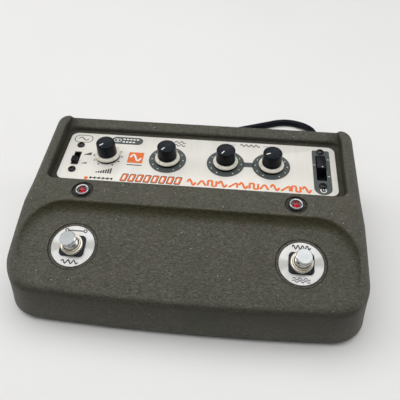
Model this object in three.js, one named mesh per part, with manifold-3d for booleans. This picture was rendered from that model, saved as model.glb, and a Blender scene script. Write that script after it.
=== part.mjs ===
// A floor-standing guitar effects pedal with two stomp switches, four knobs and two slide switches.
// Millimetres. +X right, +Y towards the rear (jacks and mains cord), +Z up.
// Origin: centre of the pedal's footprint, on the surface that its rubber feet stand on.

import * as THREE from 'three';
import { mergeVertices } from 'three/addons/utils/BufferGeometryUtils.js';
import Module from 'manifold-3d';

const wasm = await Module();
wasm.setup();

// ---------------------------------------------------------------- driving dimensions

const GAP = 0.3; // running gap between neighbouring pieces

const CASE = {
  halfWidthBottom: 122.8,
  halfWidthTop: 117.5,
  frontY: -77.8,
  frontBow: 2.9, // how far the front face bows out in the middle
  rearY: 77.8,
  rimZ: 4, // underside of the case, level with the top of the feet
  frontCorner: 24,
  rearCorner: 9,
  wall: 3,
};
const CHEEK = { peakY: 71.5, peakZ: 70.3, frontY: 6, frontZ: 61 };
const BAND = { frontY: -14.6, frontZ: 59.2, rearY: 6.2, rearZ: 61 }; // flat strip that holds the lamps
const SCOOP = { halfWidth: 109.5, corner: 20 }; // sunk foot area
const FOOT_PLANE = { y: -44.2, z: 45.3, tilt: THREE.MathUtils.degToRad(18.8) };
const PANEL = {
  halfWidth: 104.2,
  depth: 51.2,
  thickness: 1,
  corner: 5.5,
  frontY: 11.45,
  frontZ: 55.8,
  tilt: THREE.MathUtils.degToRad(4.78),
};
const RECESS = { halfWidth: 108.3, frontY: 6.2, rearY: 66.6, corner: 8 };
const BAR = { frontY: 66.6, frontZ: 62.8, rearY: 74.3, rearZ: 65.7, halfLength: 106 };

const KNOB = { x: [-69.9, -23.4, 21.1, 55.6], v: 26.3, capRadius: 6.95, skirtRadius: 9.55, top: 14.2 };
const KNOB_NAMES = ['level', 'intensity', 'depth', 'rate'];
const SHAFT_RADIUS = 3;

// A lever's two numbers are its near and far ends at rest.
const INPUT_SWITCH = {
  x: -93.9,
  v: 22.2,
  slot: [5.5, 14.2],
  screws: [36.6, 9.6],
  lever: [15.6, 21.6],
  top: 3.6,
};
const POWER_SWITCH = { x: 93.1, v: 28, slot: [7.8, 27], screws: [45.2, 8.8], lever: [26.3, 40.5], top: 1.7 };

const LAMP = { x: [-78.1, 72.4], y: -4.5, radius: 5, lens: 3.7, counterbore: 7.6 };
const STOMP = { x: 76.1, plateRadius: 14.8, counterbore: 17, button: 5.15, top: 13.6 };

const JACK = { x: [-82, -46, -10], z: 30, bore: 3.25, barrel: 9 };
const JACK_BAY = { x: [-97, 5], z: [17, 43], faceY: 72.7 }; // pocket in the rear wall
const RUBBER_FOOT = { x: 98, y: [-58, 60], radius: 9, screw: 3.6 };

const CORD = { radius: 3.1, exit: [95, 77.8, 21.5], reliefLength: 27.6 };
const HANK = { x: 2, y: 114, run: 84, fold: 27.9, height: 20 }; // folded rest of the cord
const PLUG = {
  y: 138.8,
  z: 7.1,
  halfWidth: 11,
  halfHeight: 6.9,
  noseX: -72,
  rearX: -84,
  faceX: -112,
  bladeLength: 16,
  bladeSpacing: 12.7,
};

// ---------------------------------------------------------------- materials

const material = (color, roughness, metalness) =>
  new THREE.MeshStandardMaterial({ color, roughness, metalness });
const paint = material(0x58564c, 0.7, 0.2);
const darkSteel = material(0x2c2d2c, 0.5, 0.7);
const rubber = material(0x191919, 0.9, 0);
const brushed = material(0xdcd7cc, 0.35, 0.6);
const blackPlastic = material(0x17191c, 0.45, 0);
const cream = material(0xe2dcc6, 0.5, 0);
const nickel = material(0xc9c6bd, 0.25, 1);
const chrome = material(0xe4e4e6, 0.08, 1);
const redLens = material(0xa3142a, 0.15, 0);
const boardGreen = material(0x6b5a2c, 0.6, 0);
const ironCore = material(0x55504a, 0.6, 0.6);

// ---------------------------------------------------------------- helpers

// A closed geometry as a solid that can be cut and joined.
function solid(geometry) {
  const bare = geometry.clone();
  for (const name of Object.keys(bare.attributes)) if (name !== 'position') bare.deleteAttribute(name);
  const merged = mergeVertices(bare, 1e-4);
  return new wasm.Manifold(new wasm.Mesh({
    numProp: 3,
    vertProperties: new Float32Array(merged.attributes.position.array),
    triVerts: new Uint32Array(merged.index.array),
  }));
}

function geometryOf(body) {
  const mesh = body.getMesh();
  const geometry = new THREE.BufferGeometry();
  geometry.setAttribute('position', new THREE.BufferAttribute(new Float32Array(mesh.vertProperties), 3));
  geometry.setIndex(new THREE.BufferAttribute(new Uint32Array(mesh.triVerts), 1));
  geometry.computeVertexNormals();
  return geometry;
}

function addPiece(group, name, shape, finish) {
  const mesh = new THREE.Mesh(shape.isBufferGeometry ? shape : geometryOf(shape), finish);
  mesh.name = name;
  group.add(mesh);
  return mesh;
}

// A cylinder that stands along Z.
function post(radius, z0, z1, x = 0, y = 0, sides = 28, topRadius = radius) {
  const geometry = new THREE.CylinderGeometry(topRadius, radius, z1 - z0, sides);
  return geometry.rotateX(Math.PI / 2).translate(x, y, (z0 + z1) / 2);
}

function block(x0, x1, y0, y1, z0, z1) {
  const geometry = new THREE.BoxGeometry(x1 - x0, y1 - y0, z1 - z0);
  return geometry.translate((x0 + x1) / 2, (y0 + y1) / 2, (z0 + z1) / 2);
}

// A round piece: a list of [radius, height] pairs turned about Z.
function turned(profile, sides = 32) {
  const points = profile.map(([radius, height]) => new THREE.Vector2(radius, height));
  return new THREE.LatheGeometry(points, sides).rotateX(Math.PI / 2);
}

// A ring: the profile closes on itself.
const turnedRing = (profile, sides = 32) => turned([...profile, profile[0]], sides);

function extruded(shape, height, curveSegments = 6) {
  return new THREE.ExtrudeGeometry(shape, { depth: height, bevelEnabled: false, curveSegments });
}

// A rectangle with its own corner radius on its front (y0) and rear (y1) corners.
function roundedRect(x0, x1, y0, y1, frontRadius, rearRadius = frontRadius) {
  const shape = new THREE.Shape();
  const quarter = Math.PI / 2;
  shape.moveTo(x0 + frontRadius, y0);
  shape.lineTo(x1 - frontRadius, y0);
  shape.absarc(x1 - frontRadius, y0 + frontRadius, frontRadius, -quarter, 0);
  shape.lineTo(x1, y1 - rearRadius);
  shape.absarc(x1 - rearRadius, y1 - rearRadius, rearRadius, 0, quarter);
  shape.lineTo(x0 + rearRadius, y1);
  shape.absarc(x0 + rearRadius, y1 - rearRadius, rearRadius, quarter, 2 * quarter);
  shape.lineTo(x0, y0 + frontRadius);
  shape.absarc(x0 + frontRadius, y0 + frontRadius, frontRadius, 2 * quarter, 3 * quarter);
  return shape;
}

// A prism along X whose side view is a list of [y, z] corners.
function sideProfile(corners, halfWidth) {
  const shape = new THREE.Shape(corners.map(([y, z]) => new THREE.Vector2(y, z)));
  const geometry = new THREE.ExtrudeGeometry(shape, { depth: 2 * halfWidth, bevelEnabled: false });
  return geometry.rotateX(Math.PI / 2).rotateZ(Math.PI / 2).translate(-halfWidth, 0, 0);
}

// Moves each point of a geometry by a function of its place.
function bend(geometry, move) {
  const position = geometry.attributes.position;
  const point = new THREE.Vector3();
  for (let i = 0; i < position.count; i += 1) {
    move(point.fromBufferAttribute(position, i));
    position.setXYZ(i, point.x, point.y, point.z);
  }
  return geometry;
}

const panelHeight = (y) => PANEL.frontZ + (y - PANEL.frontY) * Math.tan(PANEL.tilt);
const footHeight = (y) => FOOT_PLANE.z + (y - FOOT_PLANE.y) * Math.tan(FOOT_PLANE.tilt);
const barHeight = (y) =>
  BAR.frontZ + ((y - BAR.frontY) * (BAR.rearZ - BAR.frontZ)) / (BAR.rearY - BAR.frontY);

// A cutter above a sloping floor: a plan outline whose lowest face follows floorAt(y).
function cutterAbove(shape, floorAt, top = 100) {
  return bend(extruded(shape, top, 7), (p) => {
    if (p.z < 1) p.z = floorAt(p.y);
  });
}

// ---------------------------------------------------------------- frames of the sloping faces

const pedal = new THREE.Group();

function slopedGroup(x, y, z, tilt) {
  const group = new THREE.Group();
  group.position.set(x, y, z);
  group.rotation.x = tilt;
  group.updateMatrix();
  pedal.add(group);
  return group;
}

const panelFrame = slopedGroup(0, PANEL.frontY, PANEL.frontZ, PANEL.tilt);
const bandTilt = Math.atan2(BAND.rearZ - BAND.frontZ, BAND.rearY - BAND.frontY);
const lampZ = BAND.frontZ + (LAMP.y - BAND.frontY) * Math.tan(bandTilt);
const lampFrames = LAMP.x.map((x) => slopedGroup(x, LAMP.y, lampZ, bandTilt));
const stompFrames = [-STOMP.x, STOMP.x].map((x) =>
  slopedGroup(x, FOOT_PLANE.y, FOOT_PLANE.z, FOOT_PLANE.tilt));

const inFrame = (group, geometry) => geometry.applyMatrix4(group.matrix);

// ---------------------------------------------------------------- case

// Plan outline with a bowed front and rounded corners, inset all round by a wall.
function planOutline(inset) {
  const half = CASE.halfWidthBottom - inset;
  const frontY = CASE.frontY + inset;
  const rearY = CASE.rearY - inset;
  const corner = CASE.frontCorner - inset / 2;
  const rearCorner = CASE.rearCorner - inset / 2;
  const shape = new THREE.Shape();
  shape.moveTo(-half, rearY - rearCorner);
  shape.lineTo(-half, frontY + CASE.frontBow + corner);
  shape.quadraticCurveTo(-half, frontY + CASE.frontBow + 1, -half + corner, frontY + CASE.frontBow);
  shape.quadraticCurveTo(0, frontY - CASE.frontBow, half - corner, frontY + CASE.frontBow);
  shape.quadraticCurveTo(half, frontY + CASE.frontBow + 1, half, frontY + CASE.frontBow + corner);
  shape.lineTo(half, rearY - rearCorner);
  shape.absarc(half - rearCorner, rearY - rearCorner, rearCorner, 0, Math.PI / 2);
  shape.lineTo(-half + rearCorner, rearY);
  shape.absarc(-half + rearCorner, rearY - rearCorner, rearCorner, Math.PI / 2, Math.PI);
  return shape;
}

// The sides lean in towards the top.
function leaning(geometry) {
  const slope = (CASE.halfWidthTop / CASE.halfWidthBottom - 1) / (CHEEK.peakZ - CASE.rimZ);
  return bend(geometry, (p) => {
    p.x *= 1 + slope * (p.z - CASE.rimZ);
  });
}

function outerBody() {
  const plan = leaning(extruded(planOutline(0), 90, 8).translate(0, 0, CASE.rimZ));
  const rearSlope = [[77.8, CASE.rimZ], [77.3, 56], [76.2, 63], [74.4, 67.8], [CHEEK.peakY, CHEEK.peakZ]];
  const cheekTop = [[66, 69.6], [CHEEK.frontY, CHEEK.frontZ], [BAND.frontY, BAND.frontZ]];
  const frontFall = [
    [-24, 56.2], [-36, 51.4], [-54, 43.4], [-62, 39.7], [-72, 34.9], [-75.4, 31.5], [-76.6, 26],
  ];
  const corners = [...rearSlope, ...cheekTop, ...frontFall, [CASE.frontY - 5, CASE.rimZ]];
  return solid(plan).intersect(solid(sideProfile(corners, 130)));
}

function scoopCutter() {
  const outline = roundedRect(-SCOOP.halfWidth, SCOOP.halfWidth, -120, BAND.frontY, 2, SCOOP.corner);
  return solid(cutterAbove(outline, (y) => footHeight(Math.min(y, BAND.frontY)), 90));
}

function recessCutter() {
  const bedDepth = PANEL.thickness + GAP;
  const { halfWidth, frontY, rearY, corner } = RECESS;
  const bed = cutterAbove(roundedRect(-halfWidth, halfWidth, frontY, rearY, corner, 3),
    (y) => panelHeight(y) - bedDepth);
  const barOutline = roundedRect(-BAR.halfLength, BAR.halfLength, BAR.frontY - 6, 95, 2);
  const overBar = cutterAbove(barOutline, barHeight);
  return solid(bed).add(solid(overBar));
}

// Hollow under the case, open at the bottom.
function insideBody() {
  const plan = leaning(extruded(planOutline(CASE.wall), 90, 6).translate(0, 0, CASE.rimZ - 1));
  const under = PANEL.thickness + GAP + CASE.wall;
  const corners = [
    [75, 0], [75, 8], [74.2, 50], [70.5, 57], [67, panelHeight(67) - under],
    [4, panelHeight(4) - under], [-8, footHeight(-10) - 3.6], [-62, footHeight(-62) - 4],
    [-68.5, 29], [-72, 20], [-75.5, 8], [-76, 0],
  ];
  return solid(plan).intersect(solid(sideProfile(corners, 121)));
}

function caseHoles() {
  const cutters = [];
  for (const x of KNOB.x) cutters.push(inFrame(panelFrame, post(5, -12, 3, x, KNOB.v, 12)));
  for (const item of [INPUT_SWITCH, POWER_SWITCH]) {
    const [width, length] = item.slot;
    cutters.push(inFrame(panelFrame, block(item.x - width / 2 - 1, item.x + width / 2 + 1,
      item.v - length / 2 - 1, item.v + length / 2 + 1, -12, 3)));
    for (const v of item.screws) cutters.push(inFrame(panelFrame, post(1.9, -12, 3, item.x, v, 8)));
  }
  for (const frame of lampFrames) {
    cutters.push(inFrame(frame, post(LAMP.counterbore, -1.2, 4, 0, 0, 20)));
    cutters.push(inFrame(frame, post(4.4, -12, 4, 0, 0, 12)));
  }
  for (const frame of stompFrames) {
    cutters.push(inFrame(frame, post(STOMP.counterbore, -1.4, 9, 0, 0, 28)));
    cutters.push(inFrame(frame, post(6.4, -14, 4, 0, 0, 14)));
  }
  for (const x of JACK.x) {
    cutters.push(post(5.2, -10, 10, 0, 0, 16).rotateX(Math.PI / 2).translate(x, CASE.rearY, JACK.z));
  }
  const [x, y, z] = CORD.exit;
  cutters.push(post(5.6, -10, 10, 0, 0, 16).rotateX(Math.PI / 2).translate(x, y, z));
  return cutters.map(solid);
}

// Walls of the jack bay inside the case, and the pocket itself.
function withJackBay(body) {
  const [x0, x1] = JACK_BAY.x;
  const [z0, z1] = JACK_BAY.z;
  const inner = JACK_BAY.faceY - CASE.wall;
  const walls = block(x0 - CASE.wall, x1 + CASE.wall, inner, CASE.rearY - 1, z0 - CASE.wall, z1 + CASE.wall);
  const pocket = extruded(roundedRect(x0, x1, z0, z1, 4), 20, 4).rotateX(Math.PI / 2);
  return body.add(solid(walls)).subtract(solid(pocket.translate(0, JACK_BAY.faceY + 20, 0)));
}

function topCase() {
  let body = outerBody().subtract(scoopCutter()).subtract(recessCutter()).subtract(insideBody());
  body = withJackBay(body);
  for (const hole of caseHoles()) body = body.subtract(hole);
  return body;
}

addPiece(pedal, 'top_case', topCase(), paint);

// ---------------------------------------------------------------- base, feet

const footPlaces = [-1, 1].flatMap((side) => RUBBER_FOOT.y.map((y) => [side * RUBBER_FOOT.x, y]));
const footNames = ['front_left', 'rear_left', 'front_right', 'rear_right'];

function basePlate() {
  const inset = CASE.wall + GAP;
  let plate = solid(extruded(planOutline(inset), 1.5, 5).translate(0, 0, CASE.rimZ + 0.2));
  for (const [x, y] of [[-92, -6], [28, -6], [-92, 46], [28, 46]]) {
    plate = plate.add(solid(post(3, CASE.rimZ + 1, 14, x, y, 8)));
  }
  for (const [x, y] of footPlaces) plate = plate.subtract(solid(post(2.2, 0, 12, x, y, 8)));
  return plate;
}

addPiece(pedal, 'base_plate', basePlate(), darkSteel);

footPlaces.forEach(([x, y], i) => {
  const { radius, screw } = RUBBER_FOOT;
  const foot = turnedRing([[screw + 0.3, 0], [radius - 0.8, 0], [radius, CASE.rimZ - 0.1],
    [2.2, CASE.rimZ - 0.1], [2.2, 2.6], [screw + 0.3, 2.6]], 16);
  addPiece(pedal, `foot_${footNames[i]}`, foot.translate(x, y, 0), rubber);
  const bolt = turned([[0, 0.7], [screw, 0.7], [screw, 2.3], [1.9, 2.3], [1.9, 9], [0, 9]], 10);
  addPiece(pedal, `foot_screw_${footNames[i]}`, bolt.translate(x, y, 0), nickel);
});

// ---------------------------------------------------------------- control panel, knobs

function controlPanel() {
  const outline = roundedRect(-PANEL.halfWidth, PANEL.halfWidth, 0, PANEL.depth, PANEL.corner);
  let plate = solid(extruded(outline, PANEL.thickness, 5).translate(0, 0, -PANEL.thickness));
  for (const x of KNOB.x) plate = plate.subtract(solid(post(4.6, -3, 3, x, KNOB.v, 12)));
  for (const item of [INPUT_SWITCH, POWER_SWITCH]) {
    const [width, length] = item.slot;
    plate = plate.subtract(solid(block(item.x - width / 2, item.x + width / 2,
      item.v - length / 2, item.v + length / 2, -3, 3)));
    for (const v of item.screws) plate = plate.subtract(solid(post(1.9, -3, 3, item.x, v, 8)));
  }
  return plate;
}

addPiece(panelFrame, 'control_panel', controlPanel(), brushed);

const bedUnderside = -(PANEL.thickness + GAP + CASE.wall);

KNOB_NAMES.forEach((name, i) => {
  const place = (geometry) => geometry.translate(KNOB.x[i], KNOB.v, 0);
  const { capRadius, skirtRadius, top } = KNOB;
  const bore = SHAFT_RADIUS + GAP;
  addPiece(panelFrame, `${name}_knob_cap`, place(turnedRing([
    [bore, 4.1], [capRadius + 0.25, 4.1], [capRadius, top - 1], [capRadius - 1, top],
    [0.4, top], [0.4, 11.4], [bore, 11.4],
  ], 20)), blackPlastic);
  addPiece(panelFrame, `${name}_knob_skirt`, place(turnedRing([
    [bore, 2.9], [7, 2.9], [8.4, 0.8], [skirtRadius, 0.8], [skirtRadius, 1.8], [7.8, 3.7], [bore, 3.7],
  ], 20)), cream);
  addPiece(panelFrame, `${name}_shaft`, place(turned([
    [0, -6.5], [SHAFT_RADIUS, -6.5], [SHAFT_RADIUS, 11], [0, 11],
  ], 12)), nickel);
  addPiece(panelFrame, `${name}_potentiometer`, place(turnedRing([
    [0.6, -14], [8.2, -14], [8.2, bedUnderside - GAP], [4.1, bedUnderside - GAP], [4.1, GAP],
    [5.8, GAP], [5.8, 2.3], [bore, 2.3], [bore, -7], [0.6, -7],
  ], 12)), nickel);
});

// ---------------------------------------------------------------- slide switches

function slideSwitch(name, item, bodyDepth) {
  const [width, length] = item.slot;
  const bodyTop = bedUnderside - GAP;
  let housing = solid(block(item.x - 7, item.x + 7, item.v - length / 2 - 1.2, item.v + length / 2 + 1.2,
    bodyTop - bodyDepth, bodyTop));
  housing = housing.subtract(solid(block(item.x - width / 2, item.x + width / 2,
    item.v - length / 2, item.v + length / 2, bodyTop - 3, bodyTop + 1)));
  addPiece(panelFrame, `${name}_switch_body`, housing, darkSteel);

  // The input lever rests at the near end of its slot, and the power lever at the far end.
  const [nearEnd, farEnd] = item.lever;
  const half = width / 2 - 0.6;
  const foot = solid(block(item.x - half, item.x + half, nearEnd, farEnd, bodyTop - 2.5, 0.2));
  const tip = solid(block(item.x - half, item.x + half, nearEnd + 0.4, farEnd - 0.4, 0, item.top));
  addPiece(panelFrame, `${name}_switch_lever`, foot.add(tip), blackPlastic);

  item.screws.forEach((v, k) => {
    const head = turned([[0, -7], [1.6, -7], [1.6, GAP], [2.9, GAP], [2.7, 1.3], [0, 1.5]], 12);
    addPiece(panelFrame, `${name}_switch_screw_${k + 1}`, head.translate(item.x, v, 0), blackPlastic);
  });
}

slideSwitch('input_level', INPUT_SWITCH, 7);
slideSwitch('power', POWER_SWITCH, 9);

// ---------------------------------------------------------------- lamps

['left', 'right'].forEach((side, i) => {
  const { radius, lens } = LAMP;
  addPiece(lampFrames[i], `lamp_bezel_${side}`, turnedRing([
    [lens + GAP, -8], [4.1, -8], [4.1, -0.9], [radius + 0.6, -0.9], [radius + 0.6, 0.2], [radius, 1.2],
    [lens + 0.6, 1.2], [lens + GAP, 0.7],
  ], 18), nickel);
  addPiece(lampFrames[i], `lamp_lens_${side}`, turned([
    [0, -7], [lens, -7], [lens, 0.6], [lens * 0.8, 1.6], [lens * 0.45, 2.2], [0, 2.4],
  ], 16), redLens);
});

// ---------------------------------------------------------------- stomp switches

['left', 'right'].forEach((side, i) => {
  const frame = stompFrames[i];
  addPiece(frame, `stomp_label_plate_${side}`, turnedRing([
    [6.3, -1.1], [STOMP.plateRadius, -1.1], [STOMP.plateRadius, -0.1], [6.3, -0.1],
  ], 28), brushed);
  const washer = solid(extruded(roundedRect(-8.3, 8.3, -7.5, 7.5, 1.6), 1, 3).translate(0, 0, 0.2));
  addPiece(frame, `stomp_washer_${side}`, washer.subtract(solid(post(6.3, -1, 3, 0, 0, 16))), darkSteel);
  addPiece(frame, `stomp_nut_${side}`, turnedRing([
    [6.3, 1.5], [7.2, 1.5], [7.2, 3.4], [6.8, 3.9], [6.3, 3.9],
  ], 20), nickel);
  const threaded = solid(turnedRing([
    [0.6, -22], [6, -22], [6, 4.7], [5.8, 5], [5.45, 5], [5.45, -12], [0.6, -12],
  ], 16));
  const housing = solid(block(-9, 9, -8.5, 8.5, -26, -9)).subtract(solid(post(3, -30, -21, 0, 0, 12)));
  const bore = solid(post(5.45, -12, 8, 0, 0, 16));
  addPiece(frame, `stomp_switch_${side}`, threaded.add(housing).subtract(bore), nickel);
  const { button, top } = STOMP;
  addPiece(frame, `stomp_button_${side}`, turned([
    [0, -8], [button, -8], [button, top - 1.4], [button - 0.5, top - 0.4], [button - 1.6, top], [0, top],
  ], 20), chrome);
});

// ---------------------------------------------------------------- inside: board, transformer

addPiece(pedal, 'circuit_board', block(-97, 33, -11, 51, 14.3, 15.9), boardGreen);

function transformer() {
  const core = solid(block(58, 98, 18, 50, 8, 38));
  const bobbin = solid(block(66, 90, 11, 57, 11, 35));
  const bracket = solid(block(50, 106, 27, 41, 6, 8.5));
  return core.add(bobbin).add(bracket);
}

addPiece(pedal, 'transformer', transformer(), ironCore);

// ---------------------------------------------------------------- rear jacks

// Built along +Z with the mouth at the top, then turned to face the rear.
JACK.x.forEach((x, i) => {
  const { bore, barrel, z } = JACK;
  const wallInside = -CASE.wall - GAP - 0.4;
  const socket = turnedRing([
    [bore, -24], [barrel, -24], [barrel, wallInside], [4.8, wallInside], [4.8, GAP],
    [7.4, GAP], [7.4, 2.4], [4.8, 2.4], [4.6, 4.2], [bore, 4.2],
  ], 16);
  const name = ['input', 'output_mono', 'output_stereo'][i];
  addPiece(pedal, `${name}_jack`, socket.rotateX(-Math.PI / 2).translate(x, JACK_BAY.faceY, z), nickel);
});

// ---------------------------------------------------------------- mains cord

// Tapered boot from the rear wall, with a collar on both sides of the wall.
function strainRelief() {
  const { radius, reliefLength } = CORD;
  const inner = radius + GAP;
  return turned([
    [0, -9], [7, -9], [7, -CASE.wall - GAP - 0.6], [5.2, -CASE.wall - GAP - 0.6], [5.2, GAP],
    [7.4, GAP], [7.2, 2.6], [6.2, 3.4], [inner + 1, reliefLength - 1], [inner + 0.4, reliefLength],
    [0, reliefLength],
  ], 16);
}

const [exitX, exitY, exitZ] = CORD.exit;
addPiece(pedal, 'cord_strain_relief',
  strainRelief().rotateX(-Math.PI / 2).translate(exitX, exitY, exitZ), rubber);

// From the boot down to the floor, round in a wide loop and up to the hank.
const CORD_ROUTE = [
  [95, 106.2, 21.3], [95.6, 113, 20.2], [97.2, 122, 17.8], [99.2, 131, 14.8], [101.2, 140, 11.8],
  [102.7, 149, 9], [102.5, 157, 7], [100.3, 164, 5.4], [96, 170, 4.3], [90, 174.6, 3.5],
  [82.5, 177.2, 3.15], [74.8, 177.6, 3.1], [67, 175.8, 3.1], [57.5, 171.8, 3.1], [47.5, 167.5, 3.1],
  [37.5, 163.2, 3.1], [27.5, 158.9, 3.1], [17, 154.6, 3.1], [6, 150.6, 3.1], [-6, 147, 3.1],
];
const TAIL_ROUTE = [[-58.4, 138.8, 10.6], [-62, 138.8, 9.1], [-66, 138.8, 7.8], [-71.6, 138.8, 7.1]];

function cordTube(route, steps) {
  const path = new THREE.CatmullRomCurve3(route.map((p) => new THREE.Vector3(...p)), false, 'centripetal');
  const section = new THREE.Shape();
  const sides = 10;
  for (let i = 0; i < sides; i += 1) {
    const angle = ((i + 0.5) * 2 * Math.PI) / sides;
    const [x, y] = [CORD.radius * Math.cos(angle), CORD.radius * Math.sin(angle)];
    if (i === 0) section.moveTo(x, y);
    else section.lineTo(x, y);
  }
  return new THREE.ExtrudeGeometry(section, { steps, bevelEnabled: false, extrudePath: path });
}

addPiece(pedal, 'mains_cord', cordTube(CORD_ROUTE, 22), rubber);
addPiece(pedal, 'mains_cord_tail', cordTube(TAIL_ROUTE, 3), rubber);

function hank() {
  const { x, y, run, fold, height } = HANK;
  const shape = new THREE.Shape();
  shape.absarc(x + run / 2, y, fold, -Math.PI / 2, Math.PI / 2);
  shape.absarc(x - run / 2, y, fold, Math.PI / 2, 1.5 * Math.PI);
  return extruded(shape, height, 12);
}

addPiece(pedal, 'mains_cord_hank', hank(), rubber);

// Two flat blades, a square-shouldered grip and a tapered nose towards the cord.
function mainsPlug() {
  const { y, z, halfWidth, halfHeight, noseX, rearX, faceX, bladeLength, bladeSpacing } = PLUG;
  const nose = new THREE.CylinderGeometry(4, halfHeight, noseX - rearX + 1, 16)
    .rotateZ(-Math.PI / 2).translate((noseX + rearX - 1) / 2, y, z);
  const plan = roundedRect(faceX, rearX, y - halfWidth, y + halfWidth, 3);
  const grip = extruded(plan, 2 * halfHeight, 4).translate(0, 0, z - halfHeight);
  let plug = solid(nose).add(solid(grip));
  for (const bladeY of [y - bladeSpacing / 2, y + bladeSpacing / 2]) {
    const blade = block(faceX - bladeLength, faceX + 2, bladeY - 0.75, bladeY + 0.75, z - 3.2, z + 3.2);
    plug = plug.add(solid(blade));
  }
  return plug;
}

addPiece(pedal, 'mains_plug', mainsPlug(), blackPlastic);

export default pedal;
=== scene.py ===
from math import atan2, cos, pi, radians, sin, tan

import bmesh
import bpy
import numpy as np
from mathutils import Matrix, Vector


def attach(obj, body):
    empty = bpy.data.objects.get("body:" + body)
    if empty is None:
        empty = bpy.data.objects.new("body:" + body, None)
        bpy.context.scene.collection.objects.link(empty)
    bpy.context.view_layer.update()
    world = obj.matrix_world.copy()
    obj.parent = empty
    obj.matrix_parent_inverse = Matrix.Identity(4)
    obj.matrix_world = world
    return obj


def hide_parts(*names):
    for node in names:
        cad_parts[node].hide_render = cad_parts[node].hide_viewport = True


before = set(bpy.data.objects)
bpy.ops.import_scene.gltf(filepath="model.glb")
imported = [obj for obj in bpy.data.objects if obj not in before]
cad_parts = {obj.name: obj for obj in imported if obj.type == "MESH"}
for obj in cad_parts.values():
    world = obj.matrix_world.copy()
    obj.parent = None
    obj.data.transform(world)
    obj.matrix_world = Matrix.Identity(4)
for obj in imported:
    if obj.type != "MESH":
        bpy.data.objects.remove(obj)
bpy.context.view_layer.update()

MM = 0.001  # shapes are drawn in millimetres and stored in metres
TURN = 2 * pi

# ---- camera


def add_object(name, data):
    made = bpy.data.objects.new(name, data)
    bpy.context.collection.objects.link(made)
    return made


def make_camera():
    right = Vector((0.99487661, 0.10109382, -0.00075208))
    down = Vector((0.06910157, -0.68542945, -0.72485271))
    ahead = Vector((-0.07379363, 0.72108704, -0.68890347))
    data = bpy.data.cameras.new("camera")
    data.sensor_width = 36
    data.lens = 44.15465
    camera = add_object("camera", data)
    turn = Matrix((right, -down, -ahead)).transposed().to_4x4()
    camera.matrix_world = Matrix.Translation((0.0312605, -0.2522971, 0.2947928)) @ turn
    bpy.context.scene.camera = camera


make_camera()

# ---- shape helpers, in millimetres
# A shape is a pair: a list of points and a list of faces.


def merge(*shapes):
    points, faces = [], []
    for some_points, some_faces in shapes:
        start = len(points)
        points += [tuple(p) for p in some_points]
        faces += [[start + i for i in face] for face in some_faces]
    return points, faces


def moved(shape, dx=0.0, dy=0.0, dz=0.0):
    return [(x + dx, y + dy, z + dz) for x, y, z in shape[0]], shape[1]


def turned(shape, matrix):
    return [tuple(matrix @ Vector(p)) for p in shape[0]], shape[1]


def rounded(corners, radius=0.0, closed=True, steps=4):
    """A polygon with its corners rounded. A corner (a, b, r) has its own radius."""
    line = []
    count = len(corners)
    for i, corner in enumerate(corners):
        here = Vector(corner[:2])
        r = corner[2] if len(corner) > 2 else radius
        if r <= 0 or (not closed and i in (0, count - 1)):
            line.append(tuple(here))
            continue
        before = Vector(corners[i - 1][:2]) - here
        after = Vector(corners[(i + 1) % count][:2]) - here
        half_angle = before.angle(after) / 2
        reach = min(r / tan(half_angle), before.length * 0.499, after.length * 0.499)
        a, b = here + before.normalized() * reach, here + after.normalized() * reach
        for k in range(steps + 1):
            t = k / steps
            weight = sin(half_angle)  # a rational curve, so that the corner is a true arc
            w0, w1, w2 = (1 - t) ** 2, 2 * t * (1 - t) * weight, t * t
            line.append(tuple((a * w0 + here * w1 + b * w2) / (w0 + w1 + w2)))
    return line


def rect(x0, x1, y0, y1, radius, steps=5):
    return rounded([(x0, y0), (x1, y0), (x1, y1), (x0, y1)], radius, steps=steps)


def circle(radius, sides=48, x=0.0, y=0.0):
    return [(x + radius * cos(TURN * i / sides), y + radius * sin(TURN * i / sides))
            for i in range(sides)]


def mitre(before, after):
    """The way inwards at a corner, and the cosine of its angle to each edge's normal."""
    n0 = Vector((-before.y, before.x)).normalized()
    n1 = Vector((-after.y, after.x)).normalized()
    mid = (n0 + n1).normalized()
    return mid, mid.dot(n0)


def inset(outline, depth):
    """The outline moved inwards, for one that runs anticlockwise."""
    if depth == 0:
        return list(outline)
    result = []
    count = len(outline)
    for i in range(count):
        before = Vector(outline[i]) - Vector(outline[i - 1])
        after = Vector(outline[(i + 1) % count]) - Vector(outline[i])
        mid, lean = mitre(before, after)
        result.append(tuple(Vector(outline[i]) + mid * depth / max(lean, 0.3)))
    return result


def loft(rings):
    """Skins rings that have the same number of points, and caps both ends."""
    count = len(rings[0])
    points = [tuple(p) for ring in rings for p in ring]
    faces = [list(range(count))[::-1], [len(points) - count + i for i in range(count)]]
    for k in range(len(rings) - 1):
        a, b = k * count, (k + 1) * count
        faces += [[a + i, a + (i + 1) % count, b + (i + 1) % count, b + i] for i in range(count)]
    return points, faces


def slab(outline, z0, z1, top=0.0, foot=0.0):
    """An outline stood up from z0 to z1, with rounded edges at its top and foot."""
    levels = [(0.0, z0)] if not foot else [(foot, z0), (foot * 0.3, z0 + foot * 0.3), (0.0, z0 + foot)]
    levels += [(0.0, z1)] if not top else [(0.0, z1 - top), (top * 0.3, z1 - top * 0.3), (top, z1)]
    return loft([[(x, y, z) for x, y in inset(outline, depth)] for depth, z in levels])


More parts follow.
